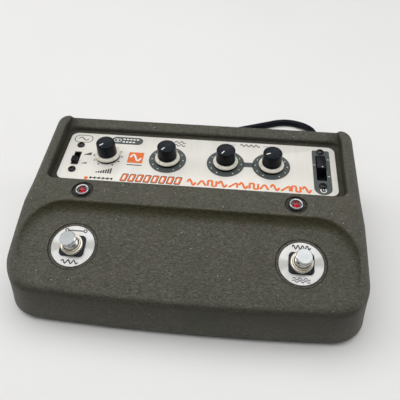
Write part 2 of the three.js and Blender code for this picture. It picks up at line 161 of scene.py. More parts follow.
def lathe(profile, sides=56, closed=False):
    """Turns (radius, height) points about z. A closed profile makes a ring."""
    points, rings = [], []
    for radius, height in profile:
        if radius < 1e-6:
            rings.append([len(points)] * sides)
            points.append((0.0, 0.0, height))
        else:
            rings.append([len(points) + i for i in range(sides)])
            points += [(x, y, height) for x, y in circle(radius, sides)]
    faces = []
    pairs = list(zip(rings, rings[1:])) + ([(rings[-1], rings[0])] if closed else [])
    for low, high in pairs:
        for i in range(sides):
            j = (i + 1) % sides
            face = [low[i], low[j], high[j], high[i]]
            face = [v for k, v in enumerate(face) if v not in face[:k]]
            if len(face) > 2:
                faces.append(face)
    return points, faces


def ring(profile, sides=56, radius=0.0, steps=3):
    return lathe(rounded(profile, radius, steps=steps), sides, closed=True)


def raw(shape, name="shape"):
    """A plain object with outward normals."""
    mesh = bpy.data.meshes.new(name)
    mesh.from_pydata(shape[0], [], shape[1])
    bm = bmesh.new()
    bm.from_mesh(mesh)
    bmesh.ops.recalc_face_normals(bm, faces=bm.faces)
    bm.to_mesh(mesh)
    bm.free()
    return add_object(name, mesh)


def carve(shape, *cutters, keep="DIFFERENCE"):
    """The shape with each cutter taken away, or with only what lies in it kept."""
    body = raw(shape)
    tools = [raw(cutter) for cutter in cutters]
    for tool in tools:
        cut = body.modifiers.new("cut", "BOOLEAN")
        cut.operation, cut.solver, cut.object = keep, "MANIFOLD", tool
    bpy.context.view_layer.update()
    result = bpy.data.meshes.new_from_object(body.evaluated_get(bpy.context.evaluated_depsgraph_get()))
    points = [tuple(v.co) for v in result.vertices]
    faces = [list(p.vertices) for p in result.polygons]
    for obj in [body, *tools]:
        mesh = obj.data
        bpy.data.objects.remove(obj)
        bpy.data.meshes.remove(mesh)
    bpy.data.meshes.remove(result)
    return points, faces


def piece(name, shape, finish, where=None, stands_for=None, sharp=35, body="pedal"):
    """Makes one visible piece from a shape in a frame, and has it ride on a body."""
    place = Matrix.Scale(MM, 4) @ (where or Matrix())
    obj = raw(turned(shape, place), name)
    obj.data.materials.append(FINISH[finish])
    obj.data.shade_smooth()
    obj.data.set_sharp_from_angle(angle=radians(sharp))
    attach(obj, body)
    if stands_for:
        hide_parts(stands_for)
    return obj


def group(pattern, where, body="pedal"):
    """A maker of pieces that share a frame, a body, and a pattern for their names and their nodes'."""
    def add(part, shape, finish, node=None, sharp=40, slot=None):
        stands_for = node and pattern.format(node)
        return piece(pattern.format(part), shape, finish, where, stands_for, sharp, body)
    return add


def frame_at(x, y, z, tilt=0.0, turn=0.0):
    """A frame at a place, tilted back about x, then turned about its own z axis."""
    there = Matrix.Translation((x, y, z)) @ Matrix.Rotation(tilt, 4, "X")
    return there @ Matrix.Rotation(turn, 4, "Z") if turn else there


def facing_rear(x, y, z):
    """A frame whose z axis points to the rear."""
    return frame_at(x, y, z, -pi / 2)


# A profile drawn in y and z, and stood up along x
ACROSS = Matrix(((0, 0, 1, 0), (1, 0, 0, 0), (0, 1, 0, 0), (0, 0, 0, 1)))

PANEL_TILT = radians(4.78)
PANEL_Y, PANEL_Z = 11.45, 55.8  # the front edge of the control panel's top
PANEL = frame_at(0, PANEL_Y, PANEL_Z, PANEL_TILT)
BAND_Y, BAND_Z = -14.6, 59.2  # the front edge of the band that holds the lamps
BAND_TILT = atan2(61 - BAND_Z, 6.2 - BAND_Y)
LAMP_Y = -4.5
LAMPS = {side: frame_at(x, LAMP_Y, BAND_Z + (LAMP_Y - BAND_Y) * tan(BAND_TILT), BAND_TILT)
         for side, x in (("left", -78.1), ("right", 72.4))}
FOOT_TILT = radians(18.8)
STOMP_Y, STOMP_Z = -44.2, 45.3
STOMPS = {side: frame_at(x, STOMP_Y, STOMP_Z, FOOT_TILT) for side, x in (("left", -76.1), ("right", 76.1))}

# ---- materials


class Finish:
    """A procedural material, built round one Principled shader. Patterns are in object space, in metres."""

    def __init__(self, name, color, rough, metal=0.0, specular=0.5, coat=0.0, coat_rough=0.1, aniso=0.0):
        self.material = bpy.data.materials.new(name)
        self.material.use_nodes = True
        self.tree = self.material.node_tree
        self.shader = self.tree.nodes["Principled BSDF"]
        self.set(self.shader, Metallic=metal, Roughness=rough, Specular_IOR_Level=specular,
                 Coat_Weight=coat, Coat_Roughness=coat_rough, Anisotropic=aniso)
        self.coords = self.node("TexCoord").outputs
        self.color = self.node("RGB").outputs[0]
        self.color.default_value = (*color, 1)
        self.height = None

    def node(self, kind, **values):
        made = self.tree.nodes.new("ShaderNode" + kind)
        self.set(made, **values)
        return made

    def feed(self, socket, value):
        """Links a pattern to an input, or sets a plain value there."""
        if isinstance(value, bpy.types.NodeSocket):
            self.tree.links.new(value, socket)
        else:
            socket.default_value = value

    def set(self, made, **values):
        for key, value in values.items():
            self.feed(made.inputs[key.replace("_", " ")], value)

    def noise(self, scale, detail=3.0, stretch=(1, 1, 1), rough=0.55, distort=0.0):
        place = self.node("Mapping", Vector=self.coords["Object"], Scale=stretch)
        made = self.node("TexNoise", Vector=place.outputs[0], Scale=scale, Detail=detail,
                         Roughness=rough, Distortion=distort)
        return made.outputs["Fac"]

    def cells(self, scale):
        return self.node("TexVoronoi", Vector=self.coords["Object"], Scale=scale)

    def axes(self, vector):
        """The X, Y and Z of a vector."""
        return self.node("SeparateXYZ", Vector=vector).outputs

    def ramp(self, value, low, high, to_low=0.0, to_high=1.0):
        """Maps low to to_low and high to to_high, and holds the value beyond them."""
        made = self.node("MapRange", Value=value, From_Min=low, From_Max=high, To_Min=to_low,
                         To_Max=to_high)
        return made.outputs["Result"]

    def math(self, kind, a, b):
        made = self.node("Math")
        made.operation = kind
        for socket, value in zip(made.inputs, (a, b)):
            self.feed(socket, value)
        return made.outputs[0]

    def times(self, a, b):
        return self.math("MULTIPLY", a, b)

    def blend(self, color, factor, kind="MIX"):
        """Mixes a colour over the finish so far, by a value or a pattern."""
        made = self.node("Mix")
        made.data_type, made.blend_type = "RGBA", kind
        for i, value in ((0, factor), (6, self.color), (7, (*color, 1))):
            self.feed(made.inputs[i], value)
        self.color = made.outputs[2]
        return self

    def tint(self, color, pattern, low, high, amount=1.0):
        """Mixes a colour in where a pattern goes from low to high."""
        return self.blend(color, self.ramp(pattern, low, high, 0, amount))

    def raise_by(self, pattern, depth_mm):
        """Adds a pattern to the surface's relief."""
        part = self.times(pattern, depth_mm * MM)
        self.height = part if self.height is None else self.math("ADD", self.height, part)
        return self

    def done(self, rough_pattern=None, rough_low=None, rough_high=None):
        self.set(self.shader, Base_Color=self.color)
        if rough_pattern is not None:
            self.set(self.shader, Roughness=self.ramp(rough_pattern, 0.3, 0.7, rough_low, rough_high))
        if self.height is not None:
            bump = self.node("Bump", Height=self.height, Distance=1.0, Strength=1.0)
            self.set(self.shader, Normal=bump.outputs[0])
        return self.material


def wrinkle_paint():
    """Olive-grey wrinkle paint: fine soft wrinkles with random mottling, dark specks and worn edges; painted
    light and shade on the wrinkles' crests and hollows, pale specks that are partly dust and partly painted
    glints, and painted shade in its nooks, on the step, on the foot area's side walls and along the top of
    the front face.
    """
    f = Finish("wrinkle_paint", (0.083, 0.081, 0.061), 0.5, specular=0.4)
    pebbles = f.noise(760, detail=2.5, rough=0.6, distort=1.2, stretch=(0.7, 1.1, 1.1))
    clumps = f.noise(300, detail=2.0, distort=0.8, stretch=(0.7, 1.1, 1.1))
    grit = f.noise(1800, detail=1.5)
    f.raise_by(f.ramp(pebbles, 0.3, 0.7), 0.5)
    f.raise_by(clumps, 0.25)
    f.raise_by(grit, 0.06)
    # painted light and shade of the wrinkles: paler on their crests and darker in their hollows, on the
    # pattern that raises them
    f.tint((0.142, 0.137, 0.106), pebbles, 0.51, 0.66, 0.85)
    f.tint((0.034, 0.032, 0.021), pebbles, 0.48, 0.36, 0.85)
    f.tint((0.095, 0.071, 0.054), f.noise(55, detail=5, rough=0.7), 0.5, 0.68, 0.45)
    f.tint((0.062, 0.069, 0.042), f.noise(38, detail=5, rough=0.7), 0.52, 0.7, 0.5)
    f.tint((0.056, 0.058, 0.044), f.noise(9, detail=3), 0.5, 0.75, 0.4)
    # pale specks, partly dust and partly painted glints, and a few dark specks
    speck = f.cells(260)
    size = f.ramp(speck.outputs["Distance"], 0.11, 0.06)
    draw = f.node("SeparateColor", Color=speck.outputs["Color"]).outputs
    f.blend((0.6, 0.6, 0.56), f.times(f.times(size, f.ramp(draw[0], 0.8, 0.81)), 0.8))
    f.blend((0.01, 0.009, 0.006), f.times(f.times(size, f.ramp(draw[1], 0.975, 0.98)), 0.8))
    worn = f.node("NewGeometry").outputs["Pointiness"]
    edge = f.times(f.ramp(worn, 0.53, 0.62), f.ramp(clumps, 0.4, 0.65))
    f.blend((0.16, 0.155, 0.12), f.times(edge, 0.5))
    # painted shade: near black where nearby surfaces hem the paint in
    nook_shade = f.node("AmbientOcclusion", Distance=0.026)
    nook_shade.only_local = True
    x, y, z = f.axes(f.coords["Object"])
    amount = f.ramp(y, -0.012, 0.0, 0.95, 0.6)  # the painted shade in the nooks is strongest in the foot area
    f.blend((0.014, 0.010, 0.002), f.times(f.ramp(nook_shade.outputs["AO"], 0.945, 0.84), amount))
    # painted shade, tinted brown: on the step and other faces turned forward, on the side walls of the foot
    # area, and on the front face, darker towards its top
    to_x, to_y, _ = f.axes(f.node("NewGeometry").outputs["Normal"])
    step = f.times(f.ramp(to_y, -0.36, -0.7), f.ramp(y, -0.045, -0.04))
    f.blend((0.47, 0.44, 0.12), f.times(step, f.ramp(y, -0.008, -0.012)), "MULTIPLY")
    # painted shade on the foot area's side walls
    for side, strength in ((1, 0.9), (-1, 0.5)):
        wall = f.times(f.ramp(to_x, -0.16 * side, -0.55 * side), f.ramp(x, 0.085 * side, 0.095 * side))
        f.blend((0.5, 0.47, 0.25), f.times(wall, f.ramp(y, -0.01, -0.03, 0, strength)), "MULTIPLY")
    # painted shade along the top of the front face
    front = f.times(f.ramp(to_y, -0.44, -0.76), f.ramp(y, -0.065, -0.07))
    f.blend((0.42, 0.39, 0.3), f.times(front, f.ramp(z, 0.011, 0.033)), "MULTIPLY")
    return f.done(pebbles, 0.46, 0.62)


def panel_metal():
    """Pale anodised sheet, brushed from front to rear, with faint broad bands."""
    f = Finish("panel_metal", (0.72, 0.695, 0.64), 0.48, metal=0.15, aniso=0.2)
    lines = f.noise(90, detail=3, stretch=(25, 1, 1))
    bands = f.noise(10, detail=3, stretch=(7, 1, 1))
    f.tint((0.60, 0.575, 0.52), lines, 0.42, 0.72, 0.35)
    f.tint((0.78, 0.765, 0.72), bands, 0.45, 0.7, 0.6)
    f.tint((0.60, 0.58, 0.53), f.noise(35, detail=5), 0.55, 0.75, 0.3)
    f.raise_by(lines, 0.004)
    return f.done(f.noise(60, detail=4), 0.42, 0.56)


def spun_metal():
    """Satin metal turned on a lathe: its sheen lies in rings, with a painted darker reflection in a wedge to
    either side.
    """
    f = Finish("label_plate", (0.56, 0.557, 0.545), 0.3, metal=0.3, aniso=0.7)
    tangent = f.node("Tangent")
    tangent.direction_type, tangent.axis = "RADIAL", "Z"
    f.set(f.shader, Tangent=tangent.outputs[0])
    smear = f.noise(110, detail=4)
    f.tint((0.45, 0.445, 0.43), smear, 0.5, 0.72, 0.5)
    # painted reflection: a darker wedge to the left and right of the middle, where the spun rings would
    # reflect less light
    centred = f.node("Mapping", Vector=f.coords["Generated"], Location=(-0.5, -0.5, 0))
    fan = f.node("TexGradient")
    fan.gradient_type = "RADIAL"
    f.set(fan, Vector=centred.outputs[0])
    wedge = f.ramp(f.math("PINGPONG", f.math("ADD", fan.outputs["Fac"], 0.98), 0.25), 0.06, 0.025)
    f.blend((0.34, 0.34, 0.315), f.times(wedge, 0.8))
    f.raise_by(f.noise(900, detail=2), 0.002)
    return f.done(smear, 0.26, 0.36)


def grey(value):
    return value, value, value


def moulded(name, color, rough, wear=grey(0.2), specular=0.5, grain=0.006, coat=0.0):
    """Moulded plastic or rubber: fine grain, faint handling marks, and pale worn edges."""
    f = Finish(name, color, rough, specular=specular, coat=coat)
    fine = f.noise(2600, detail=2)
    smear = f.noise(130, detail=4, distort=1.0)
    f.raise_by(fine, grain)
    f.tint(tuple(c * 1.25 + 0.004 for c in color), smear, 0.5, 0.75, 0.5)
    worn = f.node("NewGeometry").outputs["Pointiness"]
    f.blend(wear, f.times(f.ramp(worn, 0.55, 0.72), f.ramp(fine, 0.4, 0.6, 0.1, 0.45)))
    return f.done(smear, rough * 0.85, min(rough * 1.2, 1))


def plated(name, color, rough, tarnish=(0.3, 0.27, 0.2), amount=0.3, metal=1.0):
    """Bright plating with a little tarnish, and fine scratches."""
    f = Finish(name, color, rough, metal=metal)
    blotch = f.noise(190, detail=4)
    scratch = f.noise(900, detail=2, stretch=(1, 9, 3))
    f.tint(tarnish, blotch, 0.5, 0.75, amount)
    f.raise_by(scratch, 0.002)
    return f.done(blotch, rough * 0.7, rough * 1.5)


def chrome(name, shine=1.0):
    """Polished chrome, a little dulled, with faint smears."""
    f = Finish(name, (0.42 * shine, 0.435 * shine, 0.435 * shine), 0.14, metal=0.7)
    smear = f.noise(70, detail=5, distort=0.8)
    f.tint((0.32 * shine, 0.33 * shine, 0.335 * shine), smear, 0.45, 0.7, 0.6)
    f.tint((0.46 * shine, 0.475 * shine, 0.48 * shine), f.noise(160, detail=4), 0.5, 0.7, 0.5)
    f.raise_by(smear, 0.01)
    return f.done(smear, 0.1, 0.22)


def printed(name, color, rough=0.5):
    f = Finish(name, color, rough)
    thin = f.noise(900, detail=3)
    f.tint(tuple(c * 0.75 + 0.03 for c in color), thin, 0.5, 0.7, 0.5)
    f.raise_by(thin, 0.003)
    return f.done(thin, rough * 0.9, rough * 1.15)


def red_glass():
    f = Finish("lens_red", (0.62, 0.01, 0.03), 0.08, coat=0.3, coat_rough=0.03)
    f.shader.inputs["Transmission Weight"].default_value = 0.7
    f.shader.inputs["IOR"].default_value = 1.5
    swirl = f.noise(500, detail=2)
    f.tint((0.4, 0.005, 0.015), swirl, 0.45, 0.7, 0.6)
    f.raise_by(swirl, 0.01)
    return f.done(swirl, 0.05, 0.12)


def board():
    f = Finish("board_phenolic", (0.2, 0.13, 0.045), 0.5)
    f.tint((0.12, 0.075, 0.025), f.noise(300, detail=4), 0.45, 0.7)
    f.blend((0.04, 0.09, 0.03), f.ramp(f.cells(260).outputs["Distance"], 0.2, 0.12, 0, 0.6))
    f.raise_by(f.noise(900), 0.01)
    return f.done(f.noise(200), 0.4, 0.6)


def laminated():
    f = Finish("transformer_iron", (0.12, 0.11, 0.1), 0.5, metal=0.6)
    sheets = f.noise(1, detail=1, stretch=(1, 2200, 1))
    f.tint((0.05, 0.045, 0.04), sheets, 0.4, 0.6)
    f.raise_by(sheets, 0.05)
    return f.done(f.noise(200), 0.4, 0.65)


MATERIALS = [
    wrinkle_paint(),
    panel_metal(),
    spun_metal(),
    moulded("base_steel", (0.05, 0.05, 0.048), 0.5, wear=grey(0.3)),
    moulded("foot_rubber", (0.016, 0.016, 0.016), 0.8, wear=grey(0.06), grain=0.02),
    moulded("cord_rubber", (0.003, 0.004, 0.008), 0.42, wear=(0.03, 0.03, 0.04), specular=0.12),
    moulded("plug_black", (0.014, 0.014, 0.015), 0.5, wear=grey(0.12), grain=0.012),
    moulded("knob_black", (0.004, 0.0075, 0.0115), 0.28, wear=(0.07, 0.08, 0.09), specular=0.16),
    moulded("switch_black", (0.006, 0.007, 0.01), 0.4, wear=grey(0.1), specular=0.18),
    moulded("skirt_cream", (0.78, 0.75, 0.64), 0.38, wear=(0.8, 0.79, 0.74), coat=0.3),
    plated("screw_black", (0.032, 0.032, 0.033), 0.26, tarnish=grey(0.12), amount=0.4),
    plated("zinc_screw", (0.62, 0.62, 0.6), 0.3),
    plated("shaft_steel", (0.6, 0.6, 0.6), 0.3),
    plated("pot_can", (0.55, 0.53, 0.5), 0.35),
    plated("nickel_plate", (0.74, 0.69, 0.58), 0.28, tarnish=(0.5, 0.44, 0.32), metal=0.6),
    chrome("button_chrome"),
    # a darker copy of the chrome: painted dimmer reflection on the left button's top
    chrome("button_worn", 0.66),
    # a brighter copy of the button's plating for its sides: painted brighter reflection
    plated("button_side", (0.86, 0.87, 0.88), 0.1, tarnish=grey(0.6)),
    moulded("dark_washer", (0.011, 0.015, 0.023), 0.5, wear=(0.1, 0.1, 0.11), specular=0.2),
    red_glass(),
    board(),
    laminated(),
    printed("ink_dark", (0.035, 0.036, 0.038)),
    printed("ink_slate", (0.052, 0.066, 0.06)),
    printed("ink_white", (0.82, 0.81, 0.78)),
    printed("ink_orange", (0.76, 0.15, 0.016)),
]
FINISH = {material.name.split(".")[0]: material for material in MATERIALS}

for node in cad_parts.values():  # a CAD node that stays in view takes its slot's finish
    for place in node.material_slots:
        key = place.material.name.split(".")[0] if place.material else ""
        place.material = FINISH.get(key, place.material)

# ---- mains cord

CORD_RADIUS = 3.1
CORD_EXIT = (95, 77.8, 21.5)  # where the cord leaves the rear wall
PLUG_NOSE = (-72, 138.8, 7.1)
CORD_ROUTE = [
    (95, 106.2, 21.3), (95.6, 113, 20.2), (97.2, 122, 17.8), (99.2, 131, 14.8), (101.2, 140, 11.8),
    (102.7, 149, 9), (102.5, 157, 7), (100.3, 164, 5.4), (96, 170, 4.3), (90, 174.6, 3.5),
    (82.5, 177.2, 3.15), (74.8, 177.6, 3.1), (67, 175.8, 3.1), (57.5, 171.8, 3.1), (47.5, 167.5, 3.1),
    (37.5, 163.2, 3.1), (27.5, 158.9, 3.1), (17, 154.6, 3.1), (6, 150.6, 3.1), (-6, 147, 3.1),
    (-18, 143, 3.4), (-30, 140.2, 3.9),
]
HANK_CENTRE, HANK_HALF = (2, 114), 42  # the middle of the hank, and half of its straight run
HANK_OUT, HANK_IN = 24.8, 18.6  # fold radii of the outer and inner strands
HANK_LAYERS = (4.1, 10.3, 16.5)
# Each turn's (fold radius, layer). Each next turn moves over along the rear run, from one x to another.
HANK_TURNS = [(HANK_OUT, 0), (HANK_IN, 0), (HANK_IN, 1), (HANK_OUT, 1), (HANK_OUT, 2)]
HANK_MOVES = [(40, 2), (44, 16), (44, 28), (60, 44), (44, 16)]


def ease(t):
    t = min(max(t, 0.0), 1.0)
    return t * t * (3 - 2 * t)


def between(a, b, low, high, t):
    return (a * (high - t) + b * (t - low)) / (high - low)


def through(points, step=2.0):
    """Points along a centripetal Catmull-Rom curve through the given points."""
    p = [Vector(q) for q in points]
    p = [2 * p[0] - p[1], *p, 2 * p[-1] - p[-2]]
    line = []
    for i in range(1, len(p) - 2):
        knots = [0.0]
        for a, b in zip(p[i - 1:i + 2], p[i:i + 3]):
            knots.append(knots[-1] + (b - a).length ** 0.5)
        count = max(1, round((p[i + 1] - p[i]).length / step))
        for k in range(count):
            t = knots[1] + (knots[2] - knots[1]) * k / count
            ends = [between(p[i - 1 + j], p[i + j], knots[j], knots[j + 1], t) for j in range(3)]
            ends = [between(ends[j], ends[j + 1], knots[j], knots[j + 2], t) for j in range(2)]
            line.append(tuple(between(*ends, knots[1], knots[2], t)))
    return line + [tuple(p[-2])]


def hank_line():
    """Five turns, anticlockwise from the rear left, each starting and ending there."""
    cx, cy = HANK_CENTRE
    left, right = cx - HANK_HALF, cx + HANK_HALF
    line = []
    for (radius, layer), later, (start, end) in zip(HANK_TURNS, HANK_TURNS[1:] + HANK_TURNS[-1:], HANK_MOVES):
        z = HANK_LAYERS[layer]
        for k in range(24):  # round the left fold
            angle = pi / 2 + pi * k / 24
            line.append((left + radius * cos(angle), cy + radius * sin(angle), z))
        for k in range(20):  # along the front run
            line.append((left + (right - left) * k / 20, cy - radius, z))

        def shift(x):
            t = ease((start - x) / (start - end))
            return radius + (later[0] - radius) * t, z + (HANK_LAYERS[later[1]] - z) * t

        for k in range(24):  # round the right fold
            angle = -pi / 2 + pi * k / 24
            x = right + radius * cos(angle)
            r, height = shift(x) if angle > 0 else (radius, z)
            line.append((right + r * cos(angle), cy + r * sin(angle), height))
        for k in range(28):  # back along the rear run
            x = right + (left - right) * k / 28
            r, height = shift(x)
            line.append((x, cy + r, height))
    return line


def tail_line():
    """From the last turn down to the plug's nose."""
    top, nose = HANK_LAYERS[2], PLUG_NOSE[2]
    start, slope_start, end = -40, -36, -71.9
    line = []
    for k in range(21):
        x = start + (end - start) * k / 20
        fall = ease((slope_start - x) / (slope_start - end))
        line.append((x, HANK_CENTRE[1] + HANK_OUT, top + (nose - top) * fall))
    return line


in_boot = [(CORD_EXIT[0], y, CORD_EXIT[2]) for y in (80, 84, 88, 92, 96, 100, 103.2)]
cord_line = in_boot + through(CORD_ROUTE) + hank_line() + tail_line()


def make_cord():
    data = bpy.data.curves.new("mains_flex", "CURVE")
    data.dimensions = "3D"
    data.bevel_depth = CORD_RADIUS * MM
    data.bevel_resolution = 4
    data.use_fill_caps = True
    spline = data.splines.new("POLY")
    spline.points.add(len(cord_line) - 1)
    for point, place in zip(spline.points, cord_line):
        point.co = (*(c * MM for c in place), 1)
    data.materials.append(FINISH["cord_rubber"])
    flex = add_object("mains_flex", data)
    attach(flex, "pedal")
    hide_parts("mains_cord", "mains_cord_hank", "mains_cord_tail")
    return flex


flex = make_cord()


def make_boot():
    """A ribbed boot that tapers from a collar at the wall."""
    profile = [(3.25, -8.6), (6.9, -8.6), (6.9, -3.9), (5.1, -3.9), (5.1, 0.3), (7.3, 0.3), (7.3, 2.0),
               (6.6, 3.2)]
    for k in range(7):
        z, r = 4.2 + k * 2.9, 6.2 - 0.24 * k
        profile += [(r - 1.0, z - 0.2), (r - 0.9, z + 0.5), (r, z + 0.9), (r, z + 2.0)]
    profile += [(3.9, 25.2), (3.8, 27.1), (3.4, 27.5), (3.25, 27.5)]
    piece("cord_boot", ring(profile, 40, 0.25, 2), "cord_rubber", facing_rear(*CORD_EXIT),
          "cord_strain_relief")


def make_plug():
    """A moulded two-blade plug, its blades to the left and its nose towards the cord."""
    nose_x, mid_y, mid_z = PLUG_NOSE
    sections = [  # distance behind the nose, half width, half height, squareness
        (0, 4.1, 4.1, 2), (1.2, 4.6, 4.5, 2), (6, 5.2, 5.0, 2), (11, 7.0, 5.8, 2.3), (14, 9.6, 6.4, 3),
        (18, 10.8, 6.8, 3.6), (26, 10.9, 6.85, 4), (34, 10.5, 6.7, 4), (38.8, 10.3, 6.6, 4),
        (39.7, 9.8, 6.1, 4), (40, 9.1, 5.4, 4),
    ]
    rings = []
    for back, wide, high, square in sections:
        section = []
        for x, y in circle(1, 48):
            scale = (abs(x) ** square + abs(y) ** square) ** (-1 / square)
            section.append((nose_x - back, mid_y + wide * x * scale, mid_z + high * y * scale))
        rings.append(section[::-1])
    grooves = []
    for back in (20, 23, 26, 29):
        x = nose_x - back
        for roll in (pi, 0):  # below, then above
            cut = moved(slab(rect(x - 0.6, x + 0.6, 132.6, 145.0, 0.5), 5.8, 10), 0, -mid_y, 0)
            grooves.append(turned(cut, frame_at(0, mid_y, mid_z, roll)))
    piece("plug_grip", carve(loft(rings), merge(*grooves)), "plug_black", sharp=40)
    blades = []
    for y in (mid_y - 6.35, mid_y + 6.35):
        blade = slab(rect(-127.9, -108, 3.95, 10.25, 1.2), y - 0.75, y + 0.75, 0.25, 0.25)
        tall = turned(blade, Matrix(((1, 0, 0, 0), (0, 0, 1, 0), (0, 1, 0, 0), (0, 0, 0, 1))))
        eye = lathe([(0, -2), (1.5, -2), (1.5, 2), (0, 2)], 20)
        blades.append(carve(tall, turned(eye, frame_at(-124.5, y, mid_z, pi / 2))))
    piece("plug_blades", merge(*blades), "zinc_screw", None, "mains_plug")


def make_tie():
    """A soft strap round the middle of the hank, with its end lapped on top."""
    y0, y1, z0, z1 = 85.0, 143.0, 0.1, 20.0
    outer, inner = rect(y0, y1, z0, z1, 4.5), rect(y0 + 0.9, y1 - 0.9, z0 + 0.9, z1 - 0.9, 3.6)
    loop = carve(slab(outer, -6, 6, 0.3, 0.3), slab(inner, -8, 8))
    end = slab(rounded([(96, 20.0), (128, 20.0), (128, 20.9), (96, 20.9)], 0.3), -5.6, 5.6, 0.2, 0.2)
    strap = turned(merge(loop, moved(end, 0, -0.6, 0)), Matrix.Translation((HANK_CENTRE[0], 0, 0)) @ ACROSS)
    piece("cord_tie", strap, "foot_rubber")


make_boot()
make_plug()
make_tie()

# ---- case

CASE_STEP = 1.25  # spacing of the grid that the case's surface is found on
RIM = 4.0  # height of its lower edge above the floor
HALF_WIDTH, FRONT_Y, REAR_Y = 122.8, -78.5, 77.8  # at the lower edge
SCOOP_HALF, SCOOP_REAR, SCOOP_CORNER = 117.4, -14.1, 33.0  # the sunk foot area
BED_HALF, BED_FRONT, BED_REAR = 108.3, 6.2, 66.6  # the bed of the control panel
TOP_LINE = [  # the case's side view: y, z of its top, from the front to behind the rear wall
    (-90, 26), (-72, 34.9), (-62, 39.7), (-54, 43.4), (-46, 47.0), (-36, 51.3), (-24, 56.0), (-14.6, 59.2),
    (6, 61), (66, 69.6), (73, 70.4), (90, 71),
]
top_y = np.arange(-90, 90.01, 0.25)
top_z = np.interp(top_y, *zip(*TOP_LINE))
window = np.hanning(25)
top_z[12:-12] = np.convolve(top_z, window / window.sum(), "valid")


def rmax(a, b, r):
    """The larger of two distances, rounded by a radius where they cross."""
    return np.minimum(np.maximum(a, b), -r) + np.hypot(np.maximum(a + r, 0), np.maximum(b + r, 0))


def panel_bed(y):
    return PANEL_Z + (y - PANEL_Y) * tan(PANEL_TILT) - 1.3


def foot_floor(y):
    """The sunk foot area levels off towards the step behind it."""
    return STOMP_Z + (y - STOMP_Y) * tan(FOOT_TILT) - 0.0072 * np.maximum(y + 34, 0) ** 2


def bar_top(y):
    return 62.8 + (y - BED_REAR) * (65.7 - 62.8) / (74.3 - BED_REAR)


def case_field(x, y, z):
    """Signed distance, nearly, from the case's outer surface: negative inside."""
    ax, up = np.abs(x), z - RIM
    side = ax - (HALF_WIDTH - 0.0795 * up + 0.88 * np.clip((10 - y) / 80, 0, 1))
    front = (FRONT_Y + 3.3 * (x / 108) ** 2 + 0.13 * up - 0.0028 * up ** 2) - y
    rear = y - (REAR_Y - 0.027 * up)
    plan = np.where(y < 0, rmax(side, front, 23.0), rmax(side, rear, 9.0))
    slope = np.interp(y, top_y, np.gradient(top_z, top_y))
    top = (z - np.interp(y, top_y, top_z)) / np.sqrt(1 + slope ** 2)
    f = rmax(top, plan, np.interp(y, [-74, -64], [3.2, 7.5]))
    f = rmax(f, RIM - z, 1.2)
    # the sunk foot area: its floor meets its walls in a wide fillet
    wall = rmax(ax - SCOOP_HALF, y - SCOOP_REAR, SCOOP_CORNER)
    scoop = rmax(wall, (foot_floor(y) - z) * cos(FOOT_TILT), 9.0)
    f = rmax(f, -scoop, 0.5)
    # the bed of the control panel, and the bar behind it
    wall = rmax(ax - BED_HALF, np.where(y < 36, BED_FRONT - y, y - BED_REAR), 6.0)
    bed = rmax(wall, (panel_bed(y) - z) * cos(PANEL_TILT), 1.2)
    f = rmax(f, -bed, 1.3)
    bar = rmax(rmax(ax - 107.0, 60 - y, 1.0), (bar_top(y) - z) * 0.936, 1.6)
    f = rmax(f, -bar, 1.6)
    return f


def surface_net(field, step, low, high):
    """A mesh of quads on the surface where a field is zero, its points moved onto it."""
    axes = [np.arange(a, b + step, step) for a, b in zip(low, high)]
    value = field(*np.meshgrid(*axes, indexing="ij"))
    inside = value < 0
    size = [n - 1 for n in value.shape]
    corners = [inside[i:i + size[0], j:j + size[1], k:k + size[2]]
               for i in (0, 1) for j in (0, 1) for k in (0, 1)]
    count = sum(c.astype(np.int8) for c in corners)
    active = (count > 0) & (count < 8)
    index = np.full(active.shape, -1)
    index[active] = np.arange(active.sum())
    cells = np.argwhere(active)
    total, hits = np.zeros(cells.shape), np.zeros(len(cells))
    faces = []
    unit = np.eye(3, dtype=int)
    for axis in range(3):
        along, (p, q) = unit[axis], [unit[k] for k in range(3) if k != axis]
        for offset in (0 * p, p, q, p + q):
            a = value[tuple((cells + offset).T)]
            b = value[tuple((cells + offset + along).T)]
            cross = (a < 0) != (b < 0)
            t = a[cross] / (a[cross] - b[cross])
            total[cross] += (cells + offset)[cross] + t[:, None] * along
            hits[cross] += 1
        first = np.take(inside, range(value.shape[axis] - 1), axis)
        second = np.take(inside, range(1, value.shape[axis]), axis)
        edges = np.argwhere(first != second)
        edges = edges[(edges @ p > 0) & (edges @ q > 0)]
        faces.append(np.stack([index[tuple((edges - o).T)] for o in (p + q, q, 0 * p, p)], 1))
    points = np.array(low) + step * total / hits[:, None]
    for _ in range(4):
        here = field(*points.T)
        slope = np.stack([(field(*(points + 0.05 * e).T) - field(*(points - 0.05 * e).T)) / 0.1
                          for e in unit], 1)
        points -= (here / np.maximum((slope ** 2).sum(1), 0.25))[:, None] * slope
    return points.tolist(), np.concatenate(faces).tolist()


def hole(radius, z0, z1, flare=0.0, sides=40):
    """A round cutter. A flare rounds the edge that it leaves at z = 0."""
    rim = [(radius, z1)]
    if flare:
        angles = [TURN * k / 24 for k in range(7)]
        rim = [(radius + flare * (1 - cos(a)), -flare * (1 - sin(a))) for a in angles]
        rim.append((radius + flare, 0.5))
    return lathe([(0, z0), (radius, z0), *rim, (rim[-1][0], z1), (0, z1)], sides)


KNOB_X = {"level": -69.9, "intensity": -23.4, "depth": 21.1, "rate": 55.6}
KNOB_V = 26.3
SWITCHES = {  # x, middle of the slot, slot width and length, screws, lever ends at rest, lever top
    "input_level": (-93.9, 22.2, 5.5, 14.2, (36.6, 9.6), (15.6, 21.6), 3.6),
    "power": (93.1, 28, 7.8, 27, (45.2, 8.8), (26.3, 40.5), 1.7),
}
JACKS = {"input": -82, "output_mono": -46, "output_stereo": -10}
JACK_Z, BAY_Y = 30, 72.7


